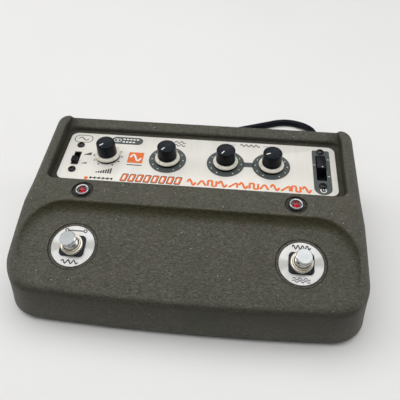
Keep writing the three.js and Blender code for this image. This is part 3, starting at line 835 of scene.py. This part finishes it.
def make_case():
    outer = surface_net(case_field, CASE_STEP, (-125, -81, 1.5), (125, 81, 73))
    step_floor = foot_floor(-14)
    cavity = [(-75.0, 2), (-74.6, 8), (-72, 20), (-68.5, 29), (-62, foot_floor(-62) - 4),
              (-34, foot_floor(-34) - 4), (-12, step_floor - 3.4), (-6, step_floor),
              (4, panel_bed(4) - 3), (67, panel_bed(67) - 3), (70.5, 57), (74.2, 50), (75, 8), (75, 2)]
    plan = rounded([(-114, -76, 17), (114, -76, 17), (114, 76, 6), (-114, 76, 6)], steps=8)
    inside = carve(turned(slab(cavity[::-1], -116, 116), ACROSS), slab(plan, 0, 80), keep="INTERSECT")
    holes = []
    for x, v, width, length, *_ in SWITCHES.values():
        wide, deep = width / 2 + 1, length / 2 + 1
        holes.append(turned(slab(rect(x - wide, x + wide, v - deep, v + deep, 1), -12, 3), PANEL))
    holes += [turned(moved(hole(5, -12, 3), x, KNOB_V), PANEL) for x in KNOB_X.values()]
    holes += [turned(hole(4.4, -12, -0.6), where) for where in LAMPS.values()]
    holes += [turned(hole(6.4, -14, -0.8), where) for where in STOMPS.values()]
    sunk = [turned(hole(7.6, -1.2, 5, 0.45, 64), where) for where in LAMPS.values()]
    sunk += [turned(hole(17, -0.55, 9, 0.4, 96), where) for where in STOMPS.values()]
    wells = [turned(hole(15.1, -1.4, 5, sides=96), where) for where in STOMPS.values()]
    upright = Matrix.Rotation(pi / 2, 4, "X")
    bay = turned(slab(rect(-97, 5, 17, 43, 4, 8), -20, -BAY_Y), upright)
    lip = turned(slab(rect(-97.8, 5.8, 16.2, 43.8, 4.8, 8), -20, -77.25), upright)
    backs = [turned(hole(5.2, -8, 4), facing_rear(x, BAY_Y, JACK_Z)) for x in JACKS.values()]
    backs.append(turned(hole(5.6, -8, 8), facing_rear(CORD_EXIT[0], 77.3, CORD_EXIT[2])))
    shell = carve(outer, inside, lip, bay, merge(*sunk), merge(*wells), merge(*holes), merge(*backs))
    piece("case_shell", shell, "wrinkle_paint", None, "top_case", 42)


make_case()

# ---- marks printed on flat faces

SKIN = 0.05  # how far a printed mark stands up, for each level
ROOT = 0.02  # how far it reaches down into the face


def mark(outline, level=0):
    return slab(outline, -ROOT, SKIN * (level + 1))


def stroke(line, width, closed=False, level=0):
    """A printed line, as wide all along."""
    points = [Vector(p) for p in line]
    count = len(points)
    sides = []
    for i, p in enumerate(points):
        before = p - points[i - 1] if closed or i else points[1] - p
        after = points[(i + 1) % count] - p if closed or i < count - 1 else before
        mid, lean = mitre(before, after)
        reach = mid * width / 2 / max(lean, 0.5)
        sides.append((p + reach, p - reach))
    top = SKIN * (level + 1)
    sections = [[(*a, -ROOT), (*b, -ROOT), (*b, top), (*a, top)] for a, b in sides]
    if not closed:
        return loft(sections)
    points, faces = loft(sections + [sections[0]])
    count = 4 * len(sections)
    return points[:count], [[i % count for i in face] for face in faces[2:]]


def dots(places, radius, level=0, sides=12):
    return merge(*(mark(circle(radius, sides, x, y), level) for x, y in places))


def wave(x0, x1, y, height, kind, steps=10):
    """One period of a wave between two places."""
    if kind == "sine":
        return [(x0 + (x1 - x0) * k / steps / 2, y + height / 2 * sin(pi * k / steps))
                for k in range(2 * steps + 1)]
    mid, low, high = (x0 + x1) / 2, y - height / 2, y + height / 2
    if kind == "square":
        return rounded([(x0, low), (x0, high), (mid, high), (mid, low), (x1, low), (x1, high)], 0.9, False)
    return rounded([(x0, low), (mid if kind == "triangle" else x1, high), (x1, low)], 0.8, False)


def waves(count, x, pitch, y, height, width):
    """A row of printed sine waves, end to end."""
    return [stroke(wave(x + k * pitch, x + (k + 1) * pitch, y, height, "sine"), width)
            for k in range(count)]


def dial(name, radius):
    """Eleven places round a knob."""
    return [clock(KNOB_X[name], KNOB_V, radius, a) for a in range(-150, 151, 30)]


def clock(x, v, radius, degrees):
    """A place on a dial: 0 points to the rear, and clockwise is positive."""
    return x + radius * sin(radians(degrees)), v + radius * cos(radians(degrees))


# ---- control panel
# Places on the panel are (x, v): v runs back along it from its front edge.


def show(name, marks, ink):
    piece(f"print_{name}", marks, f"ink_{ink}", PANEL)


DARK_DIALS = ("intensity", "depth", "rate")
BAR_X = [-55.6 + k * 5.75 for k in range(8)]  # the slanted bars of the orange band
LEAN = 1.4  # how far they lean to the right
BAND_WAVES = "sine triangle square sine saw sine square triangle sine saw square sine".split()


def dark_marks():
    return [
        stroke(rect(-100.8, -86.4, 40.3, 48.4, 4.0, 8), 0.55, True),
        stroke(wave(-97.6, -89.6, 44.4, 3.4, "sine"), 0.8),
        # the input switch's two ranges
        mark(rounded([(-89.4, 26.0), (-83.2, 26.0), (-83.2, 29.4)], 0.2)),
        mark(rounded([(-89.4, 16.4), (-84.6, 16.4), (-84.6, 18.2)], 0.2)),
        dots(dial("level", 10.9), 0.7),
        # a rising wedge of bars, a rule with six ticks, and a rule under the orange square
        *(mark(rect(-75.4 + k * 1.75, -74.2 + k * 1.75, 7.6, 8.8 + k * 0.72, 0.2, 2)) for k in range(7)),
        mark(rect(-78.8, -61.6, 1.9, 2.7, 0.4)),
        *(mark(rect(-78.4 + k * 3.2, -77.2 + k * 3.2, 1.2, 3.4, 0.2, 2)) for k in range(6)),
        mark(rect(-53.8, -42.1, 17.8, 18.7, 0.3)),
        # waves between two rules, behind the third and fourth knobs
        stroke([(24.4, 47.6), (28.0, 47.6)], 0.35),
        stroke([(49.4, 47.8), (53.2, 47.8)], 0.35),
        *waves(4, 31.4, 3.8, 47.7, 2.3, 0.75),
        # doubled waves behind the second knob
        *waves(3, -24.5, 4.2, 46.8, 2.2, 0.65),
        *waves(3, -24.5, 4.2, 43.4, 2.2, 0.65),
    ]


def white_marks():
    return [
        *(dots(dial(name, 12.0), 0.45, 1) for name in DARK_DIALS),
        # on the dark label: two linked rings and two rows of dashes
        *(stroke(circle(1.7, 24, x, 45.0), 0.5, True, 1) for x in (-67.3, -65.0)),
        *(mark(rect(-62 + k * 2.7, -60 + k * 2.7, y - 0.65, y + 0.65, 0.4, 2), 1)
          for y, count in ((46.6, 5), (43.4, 4)) for k in range(count)),
        # on the power plate: guide lines and the power sign
        *(mark(rect(x - 0.9, x + 0.9, v - 0.22, v + 0.22, 0.1, 2), 1)
          for x, v in ((88.0, 30.8), (98.4, 37.2), (98.2, 19.1))),
        stroke([clock(93.3, 4.6, 2.0, a) for a in range(35, 326, 15)], 0.6, False, 1),
        stroke([(93.3, 4.9), (93.3, 7.4)], 0.6, False, 1),
    ]


def make_panel():
    outline = rect(-104.2, 104.2, 0, 51.2, 5.5, 8)
    cutters = [moved(hole(4.6, -3, 3), x, KNOB_V) for x in KNOB_X.values()]
    for x, v, width, length, screws, *_ in SWITCHES.values():
        wide, deep = width / 2, length / 2
        cutters.append(slab(rect(x - wide, x + wide, v - deep, v + deep, 0.5, 3), -3, 3))
        cutters += [moved(hole(1.9, -3, 3, sides=20), x, screw_v) for screw_v in screws]
    plate = carve(slab(outline, -1, 0, 0.18), merge(*cutters))
    piece("panel_plate", plate, "panel_metal", PANEL, "control_panel")

    slate = [mark(circle(14.3, 64, KNOB_X[name], KNOB_V)) for name in DARK_DIALS]
    slate.append(mark(rect(KNOB_X["depth"] + 13, KNOB_X["rate"] - 13, 23.7, 28.7, 0.4)))
    power_plate = rounded([(86.7, 0.4, 6.3), (99.9, 0.4, 6.3), (99.9, 46.9, 1.6), (86.7, 46.9, 1.6)], steps=8)
    slate += [mark(power_plate), mark(rect(-71, -45.7, 40.8, 49, 4.05, 8))]
    show("slate", carve(merge(*slate), merge(*cutters)), "slate")
    show("dark", merge(*dark_marks()), "dark")
    show("white", merge(*white_marks()), "white")

    band_bars = []
    for x in BAR_X:
        corners = [(x, 0.9), (x + 4.3, 0.9), (x + 4.3 + LEAN, 8.4), (x + LEAN, 8.4)]
        band_bars.append(rounded(corners, 0.7, steps=3))
    orange = [dots([(-81.1, 1.7)], 1.5, sides=24), mark(rect(-54.0, -42.3, 20.5, 32.2, 0.6))]
    orange += [mark(bar) for bar in band_bars]
    for k, kind in enumerate(BAND_WAVES):
        x = -5.6 + 7.62 * k
        orange.append(stroke(wave(x, x + 6.2, 4.4, 5.3, kind, 12), 1.6))
    show("orange", merge(*orange), "orange")

    inner = [stroke(wave(-52.4, -43.9, 26.3, 6.4, "sine", 14), 1.5, level=1)]
    for x in (left + 1.25 for left in BAR_X):
        corners = [(x + 0.2, 2.4), (x + 1.75, 2.4), (x + 2.55, 6.9), (x + 1.0, 6.9)]
        inner.append(mark(rounded(corners, 0.3, steps=2), 1))
    show("inner", merge(*inner), "white")
    show("rims", merge(*(stroke(bar, 0.5, True, 1) for bar in band_bars)), "dark")


make_panel()

# ---- knobs

# Degrees clockwise from straight back, as the photograph shows the pointers
POINTER_AT = {"level": -137, "intensity": -144, "depth": -146, "rate": -115}


def make_knob(name):
    where = PANEL @ frame_at(KNOB_X[name], KNOB_V, 0, turn=-radians(POINTER_AT[name]))
    add = group(name + "_{}", where, f"{name}_knob")
    cap = ring([(3.3, 4.1, 0), (7.35, 4.1, 0.25), (7.3, 6.0, 1), (7.0, 13.6, 0.9), (6.5, 14.2, 0.5),
                (6.1, 14.2, 0.2), (5.8, 14.05, 0.4), (0.05, 14.0, 0), (0.05, 11.4, 0), (3.3, 11.4, 0)],
               72, 0.2, 4)
    add("cap", cap, "knob_black", "knob_cap")
    skirt = ring([(3.3, 2.9, 0), (7.2, 2.9, 0), (8.0, 1.85, 0.2), (9.35, 1.75, 0.2), (9.55, 2.2, 0.3),
                  (8.7, 3.2, 0.9), (7.6, 3.75, 0.5), (6.4, 3.75, 0), (3.3, 3.7, 0)], 72, 0.2, 4)
    notch = slab(rect(-0.28, 0.28, 8.0, 9.0, 0.2, 3), 2.3, 5)
    add("skirt", carve(skirt, notch), "skirt_cream", "knob_skirt")
    # a black ring under the skirt: partly the knob's black underside, partly painted shadow of the skirt on
    # the panel
    base = ring([(7.6, 0.12), (9.2, 0.12), (9.25, 1.65), (7.6, 1.65)], 64, 0.15)
    dot = slab(rect(-0.27, 0.27, 8.02, 8.98, 0.2, 3), 2.35, 2.85)
    add("base", merge(base, dot), "knob_black", sharp=35)
    pointer = slab(rect(-0.42, 0.42, 2.0, 5.2, 0.15, 3), 13.8, 14.12, 0.03)
    add("pointer", pointer, "ink_white", sharp=35, slot="knob_black")


for name in KNOB_X:
    make_knob(name)

# ---- screws and slide switches


def cross_screw(radius, z0, z1, shank, length, sides=40):
    """A domed screw head with a cross recess, on its shank."""
    profile = [(0, z0 - length), (shank, z0 - length), (shank, z0), (radius, z0), (radius, z0 + 0.45),
               (radius - 0.8, z1 - 0.1), (0, z1)]
    arm, groove, depth = radius * 0.56, 0.33, z1 - 0.75
    cross = [slab(rect(-wide, wide, -deep, deep, 0.1, 2), depth, z1 + 1)
             for wide, deep in ((arm, groove), (groove, arm))]
    return carve(lathe(rounded(profile, 0.25, False, 4), sides), *cross)


def make_switch(name):
    x, _, width, _, screws, (near, far), top = SWITCHES[name]
    for k, (screw_v, angle) in enumerate(zip(screws, (0.5, -0.3)), 1):
        piece(f"{name}_screw_{k}", cross_screw(2.9, 0.3, 1.5, 1.6, 7), "screw_black",
              PANEL @ frame_at(x, screw_v, 0, turn=angle), f"{name}_switch_screw_{k}", 50)
    half, body = width / 2 - 0.6, f"{name}_lever"
    foot = slab(rect(x - half, x + half, near, far, 0.4, 3), -6.9, 0.1)
    cap = slab(rect(x - half, x + half, near + 0.2, far - 0.4, 0.7, 4), -0.1, top, 0.5)
    if name == "input_level":
        grooves = [slab(rect(x - half - 1, x + half + 1, at - 0.3, at + 0.3, 0.1, 2), top - 0.4, top + 1)
                   for at in (near + 1.6, near + 2.8, near + 4.0)]
        cap = carve(cap, merge(*grooves))
    piece(f"{name}_slider", merge(foot, cap), "switch_black", PANEL, f"{name}_switch_lever", 40, body=body)
    if name == "power":
        spot = moved(slab(circle(0.5, 20), top - 0.1, top + 0.04), x + 0.6, near + 1.4)
        piece("power_spot", spot, "ink_white", PANEL, body=body)


for name in SWITCHES:
    make_switch(name)

# ---- lamps


def make_lamp(side):
    add = group("lamp_{}_" + side, LAMPS[side])
    gasket = ring([(4.75, -0.9), (5.6, -0.9), (5.6, 0.5), (4.75, 0.7)], 56, 0.2)
    bezel = ring([(4.0, -8, 0), (4.1, -8, 0), (4.1, -0.9, 0), (4.7, -0.9, 0), (4.72, 0.9, 0.5),
                  (4.2, 1.25, 0.4), (3.5, 0.9, 0.3), (3.3, 0.1, 0.1), (3.3, -0.6, 0), (4.0, -0.6, 0)],
                 56, 0.1)
    add("gasket", gasket, "foot_rubber", sharp=35, slot="nickel_plate")
    add("ring", bezel, "button_chrome", "bezel", slot="nickel_plate")
    cup = lathe(rounded([(0, -7), (3.7, -7), (3.7, -1.5), (3.2, -0.9), (3.2, -0.4), (2.2, -1.4), (0, -1.6)],
                        0.2, False), 40)
    add("cup", cup, "button_chrome", sharp=35, slot="nickel_plate")
    dome = [(2.35 * cos(a), 0.1 + 1.9 * sin(a)) for a in (TURN / 4 * k / 8 for k in range(8))]
    dome = [(0.0, -1.3), (2.1, -1.2), *dome, (0, 2.0)]
    add("dome", lathe(dome, 40), "lens_red", "lens", 35)


# ---- stomp switches


def make_stomp(side):
    where = STOMPS[side]
    add = group("stomp_{}_" + side, where)
    plate = ring([(6.35, -1.1), (14.8, -1.1), (14.8, -0.1), (6.35, -0.1)], 96, 0.22, 4)
    add("plate", plate, "label_plate", "label_plate")
    washer = carve(slab(rect(-8.3, 8.3, -7.5, 7.5, 2.8, 6), 0.0, 1.0, 0.22), hole(6.3, -1, 3))
    add("pad", washer, "dark_washer", "washer")
    nut = ring([(6.2, 1.2), (7.35, 1.2), (7.4, 3.0), (7.2, 3.4), (6.35, 3.75), (6.2, 3.6)], 64, 0.15, 4)
    add("ring", nut, "nickel_plate", "nut")
    thread = [(0.6, -22), (6.0, -22)]
    for k in range(33):
        thread += [(6.0, -21.6 + k * 0.75), (5.75, -21.25 + k * 0.75)]
    thread += [(6.05, 3.3), (6.05, 4.3), (5.9, 4.7), (5.6, 4.8), (5.45, 4.6), (5.45, -12), (0.6, -12)]
    barrel = ring(thread, 48)
    bore = lathe([(0, -30), (6.1, -30), (6.1, 0), (0, 0)], 32)
    box = carve(slab(rect(-9, 9, -8.5, 8.5, 1, 3), -26, -9.2, 0.4, 0.4), bore)
    lugs = [slab(rect(x - 1.2, x + 1.2, -0.4, 0.4, 0.2, 2), -29.5, -26.05) for x in (-5, 0, 5)]
    lid = lathe([(0.6, -24.9), (6.0, -24.9), (6.0, -22.1), (0.6, -22.1), (0.6, -24.9)], 32)
    add("works", merge(box, lid, *lugs), "shaft_steel", sharp=35, slot="nickel_plate")
    add("bushing", barrel, "nickel_plate", "switch")
    button = lathe(rounded([(0, -8, 0), (5.1, -8, 0.2), (5.1, 8.2, 0.2), (4.7, 8.6, 0.2), (4.7, 9.3, 0.2),
                            (5.2, 9.7, 0.25), (5.2, 13.2, 0.3), (4.85, 13.6, 0.25), (0, 13.6, 0)],
                           0.2, False, 5), 72)
    # the left button's crown takes the darker chrome copy, a painted dimmer reflection
    crown = "button_worn" if side == "left" else "button_chrome"
    add_moving = group("stomp_{}_" + side, where, f"stomp_{side}")
    cap = add_moving("cap", button, crown, "button", slot="button_chrome")
    # the button's sides take the brighter plating copy, a painted brighter reflection
    cap.data.materials.append(FINISH["button_side"])
    pressed = where.to_3x3() @ Vector((0, 0, 1))
    for face in cap.data.polygons:
        face.material_index = int(face.normal.dot(pressed) < 0.8)
    top, low = 11.3, -11.3
    if side == "left":
        marks = [stroke([(-5.2, top - 0.1), (5.4, top - 0.1)], 0.85)]
        marks += [stroke(circle(1.05, 20, x, top), 0.7, True) for x in (-6.3, 6.5)]
        marks += waves(3, -5.6, 3.8, low, 2.4, 0.85)
    else:
        marks = waves(4, -6.0, 3.0, top, 2.6, 0.85)
        for row in (0.75, -0.85):
            marks += waves(3, -5.7, 3.8, low + row, 1.5, 0.55)
    add("marks", moved(merge(*marks), 0, 0, -0.1), "ink_dark", sharp=35, slot="label_plate")


for side in ("left", "right"):
    make_lamp(side)
    make_stomp(side)

# ---- rear jacks and feet


def make_jack(name, x):
    barrel = ring([(3.25, -24), (9, -24), (9, -3.8), (4.8, -3.8), (4.8, 0.3), (4.75, 4.0), (4.5, 4.4),
                   (3.6, 4.4), (3.25, 4.0)], 48, 0.15, 3)
    nut = carve(slab(circle(7.6, 6), 0.9, 3.0, 0.25, 0.1), hole(4.85, -1, 5))
    nut = carve(nut, lathe([(7.3, 2.0), (12, 2.0), (12, 4), (6.4, 4), (6.9, 2.85)], 48, closed=True))
    washer = ring([(4.9, 0.1), (8.2, 0.1), (8.2, 0.85), (4.9, 0.85)], 48, 0.15)
    piece(f"{name}_socket", merge(barrel, washer, nut), "nickel_plate", facing_rear(x, BAY_Y, JACK_Z),
          f"{name}_jack", 30)


for name, x in JACKS.items():
    make_jack(name, x)


def make_foot(end, side, x, y):
    foot = ring([(3.9, 0.0, 0.3), (8.4, 0.0, 0.6), (9.0, 1.2, 0.4), (8.8, 3.9, 0.3), (2.2, 3.9, 0),
                 (2.2, 2.6, 0), (3.9, 2.6, 0)], 56, 0.1, 4)
    piece(f"rubber_{end}_{side}", foot, "foot_rubber", frame_at(x, y, 0), f"foot_{end}_{side}", 40)
    upside_down = frame_at(x, y, 2.9, pi)
    piece(f"rubber_screw_{end}_{side}", cross_screw(3.4, 0.5, 2.1, 1.9, 6.4), "zinc_screw", upside_down,
          f"foot_screw_{end}_{side}", 50)


for end, y in (("front", -58), ("rear", 60)):
    for side, x in (("left", -98), ("right", 98)):
        make_foot(end, side, x, y)

# ---- studio


def area_light(name, place, target, size, power):
    data = bpy.data.lights.new(name, "AREA")
    data.shape, data.size, data.energy = "DISK", size, power
    light = add_object(name, data)
    light.location = place
    light.rotation_euler = (Vector(target) - Vector(place)).to_track_quat("-Z", "Y").to_euler()


def make_studio():
    paper = Finish("floor_paper", (0.78, 0.775, 0.765), 0.85, specular=0.2)
    paper.tint((0.74, 0.735, 0.725), paper.noise(3, detail=4), 0.4, 0.7, 0.5)
    shape = slab(rect(-2500, 2500, -2500, 2500, 50), -8, -0.02, 0.5)
    floor = raw(turned(shape, Matrix.Scale(MM, 4)), "floor")
    floor.data.materials.append(paper.done())
    world = bpy.data.worlds.new("studio")
    world.use_nodes = True
    sky = world.node_tree.nodes["Background"]
    sky.inputs["Color"].default_value = (0.97, 0.98, 1, 1)
    sky.inputs["Strength"].default_value = 0.12
    bpy.context.scene.world = world
    bpy.context.scene.view_settings.view_transform = "Standard"
    area_light("overhead", (-0.2, 0.2, 1.5), (-0.2, 0.2, 0), 2.4, 30)
    area_light("left_fill", (-2.0, 0.2, 0.9), (0, 0, 0), 1.4, 12)
    area_light("right_fill", (2.0, 0.3, 0.7), (0, 0, 0), 1.4, 12)


make_studio()
